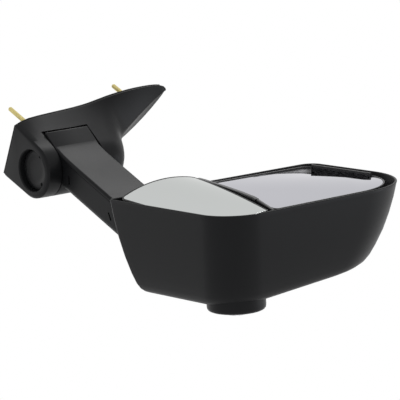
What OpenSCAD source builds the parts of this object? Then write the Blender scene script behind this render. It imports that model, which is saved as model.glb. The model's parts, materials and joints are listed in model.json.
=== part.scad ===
// Towing mirror for a pickup truck's right-hand door.
// Millimetres. +X points away from the door, +Y forward, +Z up.
// The origin lies on the door face, level with the middle of the arm and the fold pivot.

/* [Door base] */
// Height of the arm's root between the two halves of the base
knuckle_h = 68; // [56:1:82]
// Radius of the arm's root and of the base's cup about the fold pivot
knuckle_r = 36.5; // [33:0.5:39]
// Distance of the fold pivot from the door face
pivot_x = 53.5; // [46:0.5:64]
// Height of the base's tip above the middle of the arm
tip_z = 184; // [154:1:220]
// Wall of the moulded covers
cover_wall = 2.8; // [2:0.2:3.4]
// Thickness of the door gasket
gasket_t = 3; // [2:0.5:4.5]
// Radius of a door stud
stud_r = 3; // [2.5:0.5:4]
// Length of a door stud beyond the door face
stud_out = 42; // [30:1:55]
// Gap between the arm's root and the base
root_gap = 1.6; // [1.2:0.1:3]

/* [Fold pivot] */
// Outer radius of the pivot post
post_r = 14; // [11:0.5:17]
// Running clearance of the post in its bushes
post_fit = 0.05; // [0.02:0.01:0.1]
// Wall of a pivot bush
bush_wall = 2.5; // [2:0.5:4]
// Radius of the cap disc under the pivot
cap_r = 26; // [22:0.5:28]

/* [Arm] */
// Height of the arm at the head
arm_h = 68; // [58:1:68]
// Thickness of the arm from rear face to front face
arm_t = 42; // [36:1:48]
// Forward distance of the arm's rear face from the pivot axis, negative is rearward
arm_rear_y = -33; // [-36:1:-29]

/* [Head] */
// Width of the head's rim
head_w = 228; // [205:1:272]
// Height of the head's rim
head_h = 332; // [278:1:398]
// Depth of the head at its lower end
head_d = 119; // [112:1:140]
// Depth of the head at its upper end
head_top_d = 94; // [90:1:112]
// Turn of the head towards the cab
yaw = 25; // [20:1:28]
// Distance of the rim's lower inner corner from the door face
rim_x = 211.5; // [196:0.5:252]
// Forward place of the rim's lower inner corner
rim_y = -54; // [-58:0.5:-51]
// Height of the rim's lower inner corner
rim_z = -65; // [-72:0.5:-58]
// How far the head's inner side leans outwards at the top
top_lean = 8; // [4:1:14]
// Wall of the head shell
shell_wall = 3; // [2.4:0.2:4]

/* [Glass] */
// Thickness of a mirror glass
glass_t = 2.2; // [1.8:0.1:2.8]
// Height of the divider between the glasses at the arm's side
divider_in_z = 139; // [128:1:160]
// Height of the divider between the glasses at the outer side
divider_out_z = 76; // [68:1:88]
// Radius of curvature of the lower glass
spot_curve_r = 190; // [175:5:600]
// Gap between a glass holder and the shell
glass_gap = 4; // [3.5:0.5:8]
// Depth of the flat glass below the rim
glass_in = 1.5; // [1:0.5:8]

/* [Lamp] */
// Radius of the lamp housing on the head's front
lamp_r = 36; // [30:0.5:38]
// Radius of the lens dome
lens_r = 24; // [20:0.5:27]

/* [Hidden] */
$fn = 64;
charcoal = [0.2, 0.2, 0.21];
black = [0.09, 0.09, 0.1];
cast_grey = [0.62, 0.63, 0.65];
steel_grey = [0.55, 0.56, 0.58];
zinc_yellow = [0.78, 0.72, 0.4];
mirror_grey = [0.78, 0.79, 0.81];

half_k = knuckle_h / 2;
lug_t = 8;
cup_z = half_k + root_gap + 21.4;
pin_fit = 0.05;
// Door studs as [forward, up] places on the door face
studs = [[-35, -34], [-46, tip_z - 50], [26, half_k + 20]];
// Cover screws as [forward, up]
cover_screw_at = [[-36, tip_z - 86], [31, -20]];
grommet_at = [2, half_k + 40];
shank_r = stud_r + 1.5;
boss_r = stud_r + 4;
plate_t = 5;
plate_in = 9;
// Radius swept by the corner of the arm's root
root_reach = knuckle_r + 11;

// ---------- Door base ----------

// The base's outline on the door, as [forward, up]
module flag_side(shrink) {
    offset(delta = -shrink) offset(r = 5) offset(delta = -5)
        polygon([[-38, -cup_z], [-44, -48], [-49, -5], [-54, half_k + 22], [-61, tip_z - 92],
            [-67, tip_z - 52], [-68, tip_z - 21], [-60, tip_z], [-22, tip_z - 30],
            [20, tip_z - 70], [45, tip_z - 118], [50, 12], [46, -30], [36, -cup_z]]);
}

// The base's thickness over its height, as [out, up]
module flag_front(shrink, door_x) {
    out = pivot_x + knuckle_r + 1;
    offset(delta = -shrink) offset(r = -6) offset(delta = 6)
        polygon([[door_x, -cup_z], [out, -cup_z], [out, half_k + 22], [out - 3, half_k + 31],
            [out - 12, half_k + 41], [out - 24, half_k + 49], [out - 40, half_k + 56],
            [out - 51, half_k + 66], [0.33 * pivot_x + 9, tip_z - 66],
            [0.33 * pivot_x + 2, tip_z - 46], [0.33 * pivot_x - 5, tip_z - 20],
            [0.33 * pivot_x - 11, tip_z + 1], [door_x, tip_z + 1]]);
}

// The base seen from above, as [out, forward]
module flag_plan(shrink, door_x) {
    hull() {
        translate([pivot_x, 0]) circle(r = knuckle_r - shrink, $fn = 96);
        translate([door_x, -70 + shrink]) square([gasket_t + 1 - door_x, 122 - 2 * shrink]);
    }
}

module flag_solid(shrink, door_x) {
    intersection() {
        rotate([90, 0, 90]) linear_extrude(200) flag_side(shrink);
        translate([0, 100, 0]) rotate([90, 0, 0]) linear_extrude(200) flag_front(shrink, door_x);
        translate([0, 0, -120]) linear_extrude(400) flag_plan(shrink, door_x);
    }
}

// Space swept by the arm's root between the cup and the upper half
module root_space() {
    z = half_k + root_gap;
    translate([pivot_x - 20.5, -90, -z]) cube([140, 180, 2 * z]);
    translate([pivot_x, 0, -z]) cylinder(r = root_reach, h = 2 * z);
}

module along_x(x, y, z, r, h) {
    translate([x, y, z]) rotate([0, 90, 0]) cylinder(r = r, h = h);
}

module flag_cover() {
    color(charcoal) difference() {
        union() {
            difference() {
                intersection() {
                    flag_solid(0, gasket_t);
                    translate([gasket_t, -100, -150]) cube([200, 200, 500]);
                }
                flag_solid(cover_wall, -20);
            }
            // well that holds the cap disc
            translate([pivot_x, 0, -cup_z + 0.5])
                cylinder(r = cap_r + 3.2, h = cup_z - half_k - root_gap - lug_t - 1.4);
            // posts that take the cover screws
            for (p = cover_screw_at) intersection() {
                along_x(plate_t + 0.3, p[0], p[1], 4.5, 60);
                flag_solid(1, gasket_t);
            }
            // rib from the lower post to the front wall
            intersection() {
                translate([plate_t + 0.3, cover_screw_at[1][0], cover_screw_at[1][1] - 1.5])
                    cube([12, 20, 3]);
                flag_solid(1, gasket_t);
            }
        }
        root_space();
        translate([pivot_x, 0, -cup_z - 1]) cylinder(r = cap_r + 0.8, h = cup_z);
        for (p = cover_screw_at) along_x(0, p[0], p[1], 1.75, 14);
    }
}

module base_bracket() {
    r = knuckle_r - cover_wall - 1;
    color(cast_grey) difference() {
        union() {
            rotate([90, 0, 90]) linear_extrude(plate_t) flag_side(plate_in);
            for (p = studs) along_x(0, p[0], p[1], boss_r, 12);
            for (z = [-half_k - root_gap - lug_t, half_k + root_gap])
                translate([0, 0, z]) linear_extrude(lug_t) hull() {
                    translate([pivot_x, 0]) circle(r = r);
                    translate([0, -34]) square([plate_t, 66]);
                }
        }
        translate([pivot_x, 0, -half_k - root_gap])
            cylinder(r = root_reach, h = knuckle_h + 2 * root_gap);
        translate([pivot_x, 0, -100]) cylinder(r = post_r + pin_fit, h = 200);
        for (p = studs) {
            along_x(-1, p[0], p[1], shank_r, 20);
            along_x(12, p[0], p[1], shank_r + 1.8, 8);
        }
        for (p = cover_screw_at) {
            along_x(-1, p[0], p[1], 4.3, 4.5);
            along_x(-1, p[0], p[1], 1.9, 20);
        }
        along_x(-1, grommet_at[0], grommet_at[1], 9, 20);
        along_x(-1, grommet_at[0], grommet_at[1], 12, 3);
    }
}

module door_gasket() {
    color(black) rotate([90, 0, 90]) linear_extrude(gasket_t) difference() {
        flag_side(0.4);
        flag_side(plate_in - 0.4);
        for (p = studs) translate(p) circle(r = boss_r + 0.6);
    }
}

module door_studs() {
    color(zinc_yellow) for (p = studs) {
        along_x(-stud_out + 2, p[0], p[1], stud_r, stud_out - 1);
        along_x(0, p[0], p[1], shank_r, 12.5);
        translate([-stud_out, p[0], p[1]]) rotate([0, 90, 0])
            cylinder(r1 = stud_r - 1, r2 = stud_r, h = 2);
        along_x(12, p[0], p[1], shank_r + 1.5, 3);
    }
}

lug_low_z = -half_k - root_gap - lug_t;
lug_top_z = half_k + root_gap + lug_t;
spring_n = 4;
spring_pitch = 2.6;
nut_z = lug_top_z + spring_n * spring_pitch + 0.4;
nut_h = 8;

module pivot_post() {
    color(steel_grey) difference() {
        translate([pivot_x, 0, 0]) union() {
            translate([0, 0, lug_low_z - 3]) cylinder(r = post_r + 6, h = 3);
            translate([0, 0, lug_low_z - 0.1])
                cylinder(r = post_r, h = nut_z + nut_h + 2 - lug_low_z);
        }
        translate([pivot_x, 0, -120]) cylinder(r = post_r - 4.5, h = 260);
    }
}

// Four conical spring washers, stacked in pairs
module disc_springs() {
    inner = post_r + 0.5;
    outer = post_r + 8;
    color(steel_grey) for (i = [0 : spring_n - 1])
        translate([pivot_x, 0, lug_top_z + 0.1 + i * spring_pitch]) rotate_extrude()
            polygon(i % 2 == 0
                ? [[inner, 1], [outer, 0], [outer, 1.4], [inner, 2.4]]
                : [[inner, 0], [outer, 1], [outer, 2.4], [inner, 1.4]]);
}

module pivot_nut() {
    color(steel_grey) translate([pivot_x, 0, nut_z]) difference() {
        cylinder(r = post_r + 8, h = nut_h, $fn = 6);
        translate([0, 0, -1]) cylinder(r = post_r + pin_fit, h = nut_h + 2);
    }
}

module detent_ring() {
    color(steel_grey) translate([pivot_x, 0, -half_k - root_gap]) difference() {
        cylinder(r = knuckle_r - 9, h = root_gap - 0.4);
        translate([0, 0, -1]) cylinder(r = post_r + pin_fit, h = 5);
        for (a = [0 : 45 : 315]) rotate([0, 0, a])
            translate([post_r + 8, 0, -1]) cylinder(r = 3, h = 5);
    }
}

module pivot_cap() {
    top = lug_low_z - 3.2;
    color(charcoal) translate([pivot_x, 0, top - 3]) difference() {
        cylinder(r = cap_r, h = 3);
        for (a = [35, 155, 275]) rotate([0, 0, a])
            translate([cap_r - 5, 0, -1]) cylinder(r = 2.2, h = 2.4);
    }
}

module cover_screws() {
    color(steel_grey) for (p = cover_screw_at) {
        along_x(1, p[0], p[1], 4, 2.4);
        along_x(3.3, p[0], p[1], 1.7, 9);
    }
}

module wire_grommet() {
    color(black) translate([0, grommet_at[0], grommet_at[1]]) rotate([0, 90, 0]) difference() {
        union() {
            translate([0, 0, 0.1]) cylinder(r = 8.9, h = plate_t + 1.8);
            translate([0, 0, 0.1]) cylinder(r = 11.5, h = 1.8);
            translate([0, 0, plate_t + 0.1]) cylinder(r = 11.5, h = 1.9);
        }
        translate([0, 0, -5]) cylinder(r = 5, h = 20);
    }
}

// ---------- Arm ----------

arm_low_z = -half_k;
arm_front_y = arm_rear_y + arm_t;
// Outer end of the covers, inside the head's mouth
arm_end_x = rim_x + 64;
cover_split_y = arm_rear_y + 5;

// Section of the arm's blade, as [forward, up]
module blade_section(shrink) {
    translate([arm_rear_y, arm_low_z]) offset(delta = -shrink) hull() {
        translate([3, 3]) circle(r = 3);
        translate([3, knuckle_h - 5]) circle(r = 3);
        translate([arm_t - 11, 11]) circle(r = 11);
        translate([arm_t - 11, knuckle_h - 13]) circle(r = 11);
    }
}

// The blade's height along the arm, as [out, up]
module blade_front(shrink, end_x) {
    low = arm_low_z + shrink;
    polygon([[pivot_x, low], [end_x, low], [end_x, arm_low_z + arm_h - shrink],
        [pivot_x + 96, arm_low_z + arm_h - shrink], [pivot_x + 24, half_k - shrink],
        [pivot_x, half_k - shrink]]);
}

// The blade's rear face from the root, as [out, forward]
module blade_plan(shrink, end_x) {
    polygon([[pivot_x, -knuckle_r + shrink], [pivot_x + 14, -knuckle_r + 2.6 + shrink],
        [pivot_x + 60, arm_rear_y + shrink], [end_x, arm_rear_y + shrink],
        [end_x, arm_front_y - shrink], [pivot_x, arm_front_y - shrink]]);
}

module arm_solid(shrink, end_x) {
    intersection() {
        union() {
            rotate([90, 0, 90]) linear_extrude(400) blade_section(shrink);
            translate([0, -100, -100]) cube([pivot_x + 60, 100 + arm_rear_y + 20, 200]);
        }
        translate([0, 100, 0]) rotate([90, 0, 0]) linear_extrude(200) blade_front(shrink, end_x);
        translate([0, 0, -100]) linear_extrude(200) blade_plan(shrink, end_x);
    }
    translate([pivot_x, 0, arm_low_z + shrink])
        linear_extrude(knuckle_h - 2 * shrink) offset(delta = -shrink) hull() {
            circle(r = knuckle_r, $fn = 96);
            translate([-16, -knuckle_r - 4.5]) circle(r = 2.5);
        }
}

module arm_skin() {
    difference() {
        arm_solid(0, arm_end_x);
        arm_solid(cover_wall - 0.3, arm_end_x + 5);
        in_head() translate([-100, foot_y - 0.5, -100]) cube([400, 200, 400]);
        translate([pivot_x, 0, -100]) cylinder(r = post_r + 8, h = 200);
    }
}

module arm_rear_cover() {
    color(charcoal) intersection() {
        arm_skin();
        translate([0, -100, -100]) cube([400, 100 + cover_split_y - 0.1, 200]);
    }
}

module arm_front_cover() {
    color(charcoal) difference() {
        intersection() {
            arm_skin();
            translate([0, cover_split_y + 0.1, -100]) cube([400, 200, 200]);
        }
        for (x = arm_screw_x) translate([x, arm_front_y - 6, 0]) rotate([-90, 0, 0])
            cylinder(r = 1.9, h = 12);
        // latch windows in the lower face
        for (w = [[pivot_x + knuckle_r + 11.6, 65], [rim_x - 21, 40]])
            translate([w[0], arm_rear_y + 23, arm_low_z]) rotate([0, 0, w[1]])
                cube([11, 2.6, 10], center = true);
    }
}

beam_y = [-25, -1];
beam_z = [-half_k + 8, arm_low_z + arm_h - 8];
foot_y = 74;
foot_t = 6;

// Children in the head's own frame: out along the rim, forward from the rim, up from its low edge
module in_head() {
    translate([rim_x, rim_y, rim_z]) rotate([0, 0, -yaw]) children();
}

module arm_core() {
    bore = post_r + post_fit + bush_wall;
    color(cast_grey) difference() {
        union() {
            translate([pivot_x, 0, arm_low_z + 3])
                cylinder(r = knuckle_r - cover_wall - 0.2, h = knuckle_h - 6);
            intersection() {
                translate([pivot_x, beam_y[0], beam_z[0]])
                    cube([290, beam_y[1] - beam_y[0], beam_z[1] - beam_z[0]]);
                in_head() translate([-300, -300, -100]) cube([600, 300 + foot_y + 1, 400]);
            }
            // posts under the front cover's screws
            for (x = arm_screw_x) translate([x, beam_y[1] - 1, 0]) rotate([-90, 0, 0])
                cylinder(r = 5, h = arm_front_y - cover_wall - beam_y[1] + 1.2);
            in_head() translate([28, foot_y, beam_z[0] - rim_z - 10])
                cube([74, foot_t, beam_z[1] - beam_z[0] + 20]);
        }
        // wiring channel through the beam
        translate([pivot_x + 20, beam_y[0] + 6, beam_z[0] + 6])
            cube([150, beam_y[1] - beam_y[0] - 12, beam_z[1] - beam_z[0] - 12]);
        translate([pivot_x, 0, -100]) cylinder(r = bore, h = 200);
        for (x = foot_screw_x, z = foot_screw_z) in_head()
            translate([x, foot_y - 1, z]) rotate([-90, 0, 0]) cylinder(r = 3.1, h = 10);
        for (x = arm_screw_x) translate([x, beam_y[1] - 8, 0]) rotate([-90, 0, 0])
            cylinder(r = 1.75, h = 40);
    }
}

foot_screw_x = [38, 93];
foot_screw_z = [beam_z[0] - rim_z - 5, beam_z[1] - rim_z + 5];
arm_screw_x = [pivot_x + 58, rim_x - 26];

// Screws that hold the front cover to the beam
module arm_screws() {
    color(steel_grey) for (x = arm_screw_x)
        translate([x, arm_front_y, 0]) rotate([-90, 0, 0]) {
            translate([0, 0, -15]) cylinder(r = 1.7, h = 15.2);
            translate([0, 0, 0.1]) cylinder(r = 4, h = 2);
        }
}

module pivot_bushes() {
    color([0.85, 0.84, 0.78]) translate([pivot_x, 0, 0]) for (s = [-1, 1])
        mirror([0, 0, s < 0 ? 1 : 0]) translate([0, 0, half_k - 3 - 16]) difference() {
            union() {
                cylinder(r = post_r + post_fit + bush_wall, h = 16);
                translate([0, 0, 16]) cylinder(r = post_r + 6, h = 2.5);
            }
            translate([0, 0, -1]) cylinder(r = post_r + post_fit, h = 30);
        }
}

// ---------- Head ----------

// Children in the row's frame, for cuts made inside in_head()
module in_row() {
    rotate([0, 0, yaw]) translate([-rim_x, -rim_y, -rim_z]) children();
}

// Shape of the shell from rim to front: share of the depth, then how far the inner side,
// outer side, lower edge and upper edge have drawn in
shell_steps = [[0, 0, 0, 0, 0], [0.6, 14, 11, 8, 16], [0.93, 28, 22, 17, 33],
    [1, 42, 33, 28, 50]];
corner_r = [7, 50, 100, 20];

module shell_corner(x, y, z, r) {
    translate([x, y, z]) rotate([-90, 0, 0]) cylinder(r = r, h = 0.1, $fn = 32);
}

// Closed outer form of the head, drawn in by a wall
module head_form(wall) {
    hull() for (s = shell_steps) {
        low_y = s[0] == 0 ? -wall : s[0] * head_d - wall;
        top_y = s[0] == 0 ? -wall : s[0] * head_top_d - wall;
        inner = s[1] + wall;
        outer = head_w - s[2] - wall;
        low = s[3] + wall;
        top = head_h - s[4] - wall;
        c = [for (r = corner_r) max(2, r - wall)];
        shell_corner(inner + c[0], low_y, low + c[0], c[0]);
        shell_corner(outer - c[1], low_y, low + c[1], c[1]);
        shell_corner(outer - c[2], top_y, top - c[2], c[2]);
        shell_corner(inner + top_lean + c[3], top_y, top - c[3], c[3]);
    }
}

frame_y = 80;
frame_t = 5;
frame_post_at = [[66, 118], [head_w - 56, 122], [66, head_h - 78], [head_w - 60, head_h - 84]];
lamp_at = [head_w - 62, 59];
lamp_out_y = head_d + 7;

// A round bar along the head's forward direction
module forward(x, y, z, r, h) {
    translate([x, y, z]) rotate([-90, 0, 0]) cylinder(r = r, h = h);
}

module head_shell() {
    color(charcoal) in_head() difference() {
        union() {
            difference() {
                head_form(0);
                head_form(shell_wall);
            }
            intersection() {
                for (p = frame_post_at)
                    forward(p[0], frame_y + frame_t + 0.1, p[1], 6, 60);
                head_form(1);
            }
        }
        in_row() translate([100, 0, 0]) rotate([90, 0, 90])
            linear_extrude(rim_x - 40) blade_section(-0.8);
        forward(lamp_at[0], frame_y, lamp_at[1], lamp_r + 0.4, 80);
        for (p = frame_post_at) forward(p[0], frame_y, p[1], 2.05, 16);
    }
}

module frame_outline(shrink) {
    hull() {
        for (p = [[34, 32, 8], [head_w - 52, 52, 30], [head_w - 82, head_h - 98, 30],
            [44 + top_lean, head_h - 66, 12]])
            translate([p[0], p[1]]) circle(r = p[2] - shrink);
    }
}

// A flat plate across the head, from y forwards
module across(y, t) {
    translate([0, y + t, 0]) rotate([90, 0, 0]) linear_extrude(t) children();
}

module head_frame() {
    color(cast_grey) in_head() difference() {
        across(frame_y, frame_t) frame_outline(0);
        for (p = frame_post_at) forward(p[0], 60, p[1], 2.1, 40);
        for (x = foot_screw_x, z = foot_screw_z) forward(x, 60, z, 3.1, 40);
        forward(lamp_at[0], 60, lamp_at[1], 14, 40);
    }
}

// Screws that join the shell to the frame and the frame to the arm's foot
module frame_screws() {
    color(steel_grey) in_head() {
        for (p = frame_post_at) {
            forward(p[0], frame_y - 2.6, p[1], 4.5, 2.5);
            forward(p[0], frame_y - 0.2, p[1], 2, 14);
        }
        for (x = foot_screw_x, z = foot_screw_z) {
            forward(x, frame_y + frame_t + 0.1, z, 5, 3);
            forward(x, foot_y + 0.5, z, 3, frame_t + frame_y - foot_y);
        }
    }
}

// ---------- Glasses ----------

side_in = shell_wall + glass_gap + 5.5;
top_in = shell_wall + glass_gap + 12;
mid_x = head_w / 2;

function divider_z(x) = divider_in_z + (divider_out_z - divider_in_z) * x / head_w;

// The flat glass, as [out, up]
module flat_outline(grow) {
    offset(delta = grow) hull() {
        translate([side_in + 26, divider_z(side_in + 26) + 33]) circle(r = 26);
        translate([head_w - side_in - 3, divider_z(head_w - side_in) + 10]) circle(r = 3);
        translate([head_w - side_in - 88, head_h - top_in - 88]) circle(r = 88);
        translate([side_in + top_lean + 14, head_h - top_in - 14]) circle(r = 14);
    }
}

// The lower glass, as [out, up]
module spot_outline(grow) {
    offset(delta = grow) hull() {
        translate([side_in + 5, shell_wall + glass_gap + 11]) circle(r = 5);
        translate([head_w - side_in - 34, shell_wall + glass_gap + 35]) circle(r = 30);
        translate([head_w - side_in - 3, divider_z(head_w - side_in) - 11]) circle(r = 3);
        translate([side_in + 3, divider_z(side_in) - 11]) circle(r = 3);
    }
}

module glass_divider() {
    t = 4;
    turn = atan((divider_out_z - divider_in_z) / head_w);
    color(black) in_head() {
        translate([0, 0, divider_in_z]) rotate([0, -turn, 0]) translate([0, 0, -t / 2])
            linear_extrude(t) polygon([[9.5, -7], [head_w / 2, -7], [0.79 * head_w, -5],
                [head_w - 9.5, 1], [head_w - 9.5, 22], [9.5, 22]]);
        for (x = [mid_x - 64, mid_x + 70])
            translate([x - 6, 21, divider_z(x) - t / 2]) cube([12, frame_y - 21.1, t]);
    }
}

module flat_glass() {
    color(mirror_grey) in_head() across(glass_in, glass_t) flat_outline(0);
}

module heater_pad() {
    color([0.75, 0.45, 0.2]) in_head() across(glass_in + glass_t + 0.05, 0.5) flat_outline(-4);
}

hub_y = glass_in + 19;
hub_z = (divider_z(mid_x) + 10 + head_h - top_in) / 2;
pin_r = 2.5;

// Ears in pairs on the Z or X axis about a tilt centre, each with a pin bore
module ear_pair(along, near, far, y0, y1, half) {
    for (s = [-1, 1]) mirror([along == "x" && s < 0 ? 1 : 0, 0, along == "z" && s < 0 ? 1 : 0])
        difference() {
            if (along == "x") translate([near, y0, -half]) cube([far - near, y1 - y0, 2 * half]);
            else translate([-half, y0, near]) cube([2 * half, y1 - y0, far - near]);
            if (along == "x") rotate([0, 90, 0]) cylinder(r = pin_r + pin_fit, h = far + 1);
            else cylinder(r = pin_r + pin_fit, h = far + 1);
        }
}

// A gimbal ring with two pins outwards along X and two inwards along Z
module gimbal(inner, outer, pin_out, pin_in) {
    rotate([-90, 0, 0]) translate([0, 0, -4]) difference() {
        cylinder(r = outer, h = 8);
        translate([0, 0, -1]) cylinder(r = inner, h = 10);
    }
    for (s = [-1, 1]) {
        rotate([0, 90 * s, 0]) translate([0, 0, (inner + outer) / 2])
            cylinder(r = pin_r, h = pin_out - (inner + outer) / 2);
        mirror([0, 0, s < 0 ? 1 : 0]) translate([0, 0, pin_in])
            cylinder(r = pin_r, h = (inner + outer) / 2 - pin_in);
    }
}

module glass_holder() {
    back_y = glass_in + glass_t + 0.8;
    color(black) in_head() {
        difference() {
            across(glass_in + 0.6, back_y + 3 - glass_in - 0.6) flat_outline(2);
            across(glass_in - 1, back_y - glass_in + 1) flat_outline(0.1);
        }
        translate([mid_x, hub_y, hub_z])
            ear_pair("z", 10, 16, back_y + 2.5 - hub_y, 4.5, 4.5);
    }
}

module tilt_ring() {
    color(cast_grey) in_head() translate([mid_x, hub_y, hub_z]) gimbal(20, 26, 36, 11);
}

actuator_y = hub_y + 9;

module actuator_cover() {
    color(black) in_head() translate([mid_x, 0, hub_z]) {
        forward(0, actuator_y, 0, 48, 3);
        translate([0, hub_y, 0]) ear_pair("x", 29, 35, -4.5, actuator_y + 0.5 - hub_y, 4.5);
    }
}

module actuator_body() {
    y = actuator_y + 3.1;
    color(charcoal) in_head() translate([mid_x, 0, hub_z]) difference() {
        forward(0, y, 0, 48, frame_y - 0.1 - y);
        forward(0, y - 1, 0, 45, frame_y - 3.1 - y);
    }
}

module tilt_motors() {
    color(steel_grey) in_head() translate([mid_x, actuator_y + 19, hub_z])
        for (s = [-1, 1]) translate([s * 17, 0, -24]) {
            cylinder(r = 12, h = 38);
            translate([0, 0, 38]) cylinder(r = 3, h = 9);
        }
}

// ---------- Lower glass ----------

spot_apex_z = 85;
spot_proud = 15;
spot_turn = 4.4;
spot_hub = [mid_x, 24, 55];

// Part of a cylinder shell that follows the lower glass, between two depths under its face
module spot_layer(from, to) {
    translate([10, -spot_proud, spot_apex_z]) rotate([0, 0, spot_turn]) intersection() {
        translate([-60, spot_curve_r, 0]) rotate([0, 90, 0]) difference() {
            cylinder(r = spot_curve_r - from, h = 400, $fn = 128);
            translate([0, 0, -1]) cylinder(r = spot_curve_r - to, h = 402, $fn = 128);
        }
        translate([-60, -5, -110]) cube([400, 75, 220]);
    }
}

module spot_sheet(grow, from, to) {
    intersection() {
        spot_layer(from, to);
        across(-40, 140) spot_outline(grow);
    }
}

module spot_glass() {
    color(mirror_grey) in_head() spot_sheet(0, 0, glass_t);
}

module spot_holder() {
    color(black) in_head() {
        difference() {
            spot_sheet(2, 0.6, glass_t + 3.2);
            spot_sheet(0.1, 0.5, glass_t + 0.2);
        }
        translate(spot_hub) difference() {
            ear_pair("z", 6, 11, -26, 4.5, 4.5);
            translate([-spot_hub[0], -spot_hub[1], -spot_hub[2]])
                spot_layer(-30, glass_t + 1.5);
        }
    }
}

module spot_tilt_ring() {
    color(cast_grey) in_head() translate(spot_hub) gimbal(14, 19, 27, 7);
}

module spot_mount() {
    y = spot_hub[1];
    color(black) in_head() translate([spot_hub[0], 0, spot_hub[2]]) {
        translate([-28, y + 9, -14]) cube([56, 4, 28]);
        translate([-8, y + 12, -14]) cube([20, frame_y - 0.1 - y - 12, 28]);
        translate([0, y, 0]) ear_pair("x", 21, 26, -4.5, 9.5, 4.5);
    }
}

// ---------- Lamp ----------

lens_seat_y = lamp_out_y - 3.5;
dome_h = 7;
dome_r = (lens_r * lens_r + dome_h * dome_h) / (2 * dome_h);
lens_wall = 2.2;

module lamp_housing() {
    x = lamp_at[0];
    z = lamp_at[1];
    back_y = frame_y + frame_t + 12;
    color(charcoal) in_head() difference() {
        forward(x, back_y, z, lamp_r, lamp_out_y - back_y);
        forward(x, back_y + 3, z, lens_r - 3, 60);
        forward(x, lens_seat_y, z, lens_r + 0.1, 60);
    }
}

module lamp_board() {
    y = frame_y + frame_t + 15.1;
    color([0.1, 0.35, 0.2]) in_head() {
        forward(lamp_at[0], y, lamp_at[1], lens_r - 4, 1.6);
        for (a = [0, 120, 240]) translate([lamp_at[0], y + 1.5, lamp_at[1]]) rotate([0, a, 0])
            translate([9, 0, 0]) rotate([-90, 0, 0]) cylinder(r = 2.8, h = 2);
    }
}

module lamp_lens() {
    color([0.72, 0.7, 0.76]) in_head() translate([lamp_at[0], lens_seat_y + 0.1, lamp_at[1]])
        rotate([-90, 0, 0]) {
            difference() {
                cylinder(r = lens_r, h = 3.4);
                translate([0, 0, -1]) cylinder(r = lens_r - lens_wall, h = 6);
            }
            translate([0, 0, 3.4 + dome_h - dome_r]) difference() {
                sphere(r = dome_r, $fn = 96);
                sphere(r = dome_r - lens_wall, $fn = 96);
                translate([0, 0, dome_r - dome_h - 2 * dome_r - 0.01])
                    cylinder(r = 3 * dome_r, h = 2 * dome_r);
            }
        }
}

base_bracket();
flag_cover();
door_gasket();
door_studs();
pivot_cap();
pivot_post();
disc_springs();
pivot_nut();
detent_ring();
cover_screws();
wire_grommet();
arm_core();
arm_rear_cover();
arm_front_cover();
arm_screws();
pivot_bushes();
head_shell();
head_frame();
frame_screws();
glass_divider();
lamp_housing();
lamp_board();
lamp_lens();
actuator_body();
actuator_cover();
tilt_motors();
tilt_ring();
glass_holder();
heater_pad();
flat_glass();
spot_mount();
spot_tilt_ring();
spot_holder();
spot_glass();
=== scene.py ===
import json
import math

import bmesh
import bpy
from bpy.props import FloatProperty, FloatVectorProperty, IntProperty, PointerProperty
from mathutils import Matrix, Vector


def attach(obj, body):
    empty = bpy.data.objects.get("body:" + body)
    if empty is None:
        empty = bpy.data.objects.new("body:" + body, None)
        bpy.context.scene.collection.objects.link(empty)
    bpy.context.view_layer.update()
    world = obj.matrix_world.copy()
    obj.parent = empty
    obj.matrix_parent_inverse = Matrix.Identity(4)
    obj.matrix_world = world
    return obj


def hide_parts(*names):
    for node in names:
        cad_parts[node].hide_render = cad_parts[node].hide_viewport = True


bl_info = {
    "name": "Towing Mirror",
    "version": (1, 0, 0),
    "blender": (4, 5, 0),
    "location": "View3D > Sidebar > Towing Mirror",
    "description": "Builds the covers, glasses, lamp and finishes of a door-mounted towing mirror",
    "category": "Object",
}

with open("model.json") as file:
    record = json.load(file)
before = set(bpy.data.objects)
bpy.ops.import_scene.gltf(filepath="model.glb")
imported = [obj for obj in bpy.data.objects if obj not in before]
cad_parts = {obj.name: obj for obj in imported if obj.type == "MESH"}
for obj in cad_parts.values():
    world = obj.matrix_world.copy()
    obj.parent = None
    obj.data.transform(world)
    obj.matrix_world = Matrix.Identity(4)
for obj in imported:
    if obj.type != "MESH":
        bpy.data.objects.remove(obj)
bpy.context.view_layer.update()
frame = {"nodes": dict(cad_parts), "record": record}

# ---------- Places shared by the pieces, in millimetres ----------

MM = 0.001
YAW = math.radians(25)
RIM = Vector((211.5, -54, -65))
HEAD = Matrix.Translation(RIM) @ Matrix.Rotation(-YAW, 4, "Z")
HEAD_W, HEAD_H, TOP_LEAN = 228, 332, 8
LOW_DEPTH, TOP_DEPTH = 119, 94
PIVOT_X, ROOT_R, ROOT_TOP, ROOT_REACH = 53.5, 36.5, 34, 47.5
GAP_Z = 35.6
CUP_Z = -57
ARM_REAR, ARM_FRONT, ARM_LOW, ARM_TOP = -33, 9, -34, 34
SPLIT_Y = -28
FOOT_Y = 73.5
GASKET = 3
STUDS = ((-35, -34), (-46, 134), (26, 54))
COVER_SCREWS = ((-36, 98), (31, -20))
ARM_SCREWS = (111.5, 185.5)
ARM_WALL, ARM_CUT_FROM, ARM_CUT_TO = 2.5, 120, 262
# Place along the arm and turn of each latch window in the front cover's underside
WINDOWS = ((PIVOT_X + ROOT_R + 11.6, 65), (RIM.x - 21, 40))
GROMMET = (2, 74)
CAP_R, CAP_BOTTOM = 26, -49.8
LAMP_AT, LAMP_R, LENS_R = (166, 59), 36, 24
LAMP_OUT, LAMP_BACK = 126, 97
SIDE_IN, TOP_IN = 12.5, 19
GLASS_Y, GLASS_T = 1.5, 2.2
APEX_Z, CURVE_R, PROUD, SPOT_TURN = 85, 190, 15, math.radians(4.4)
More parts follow.
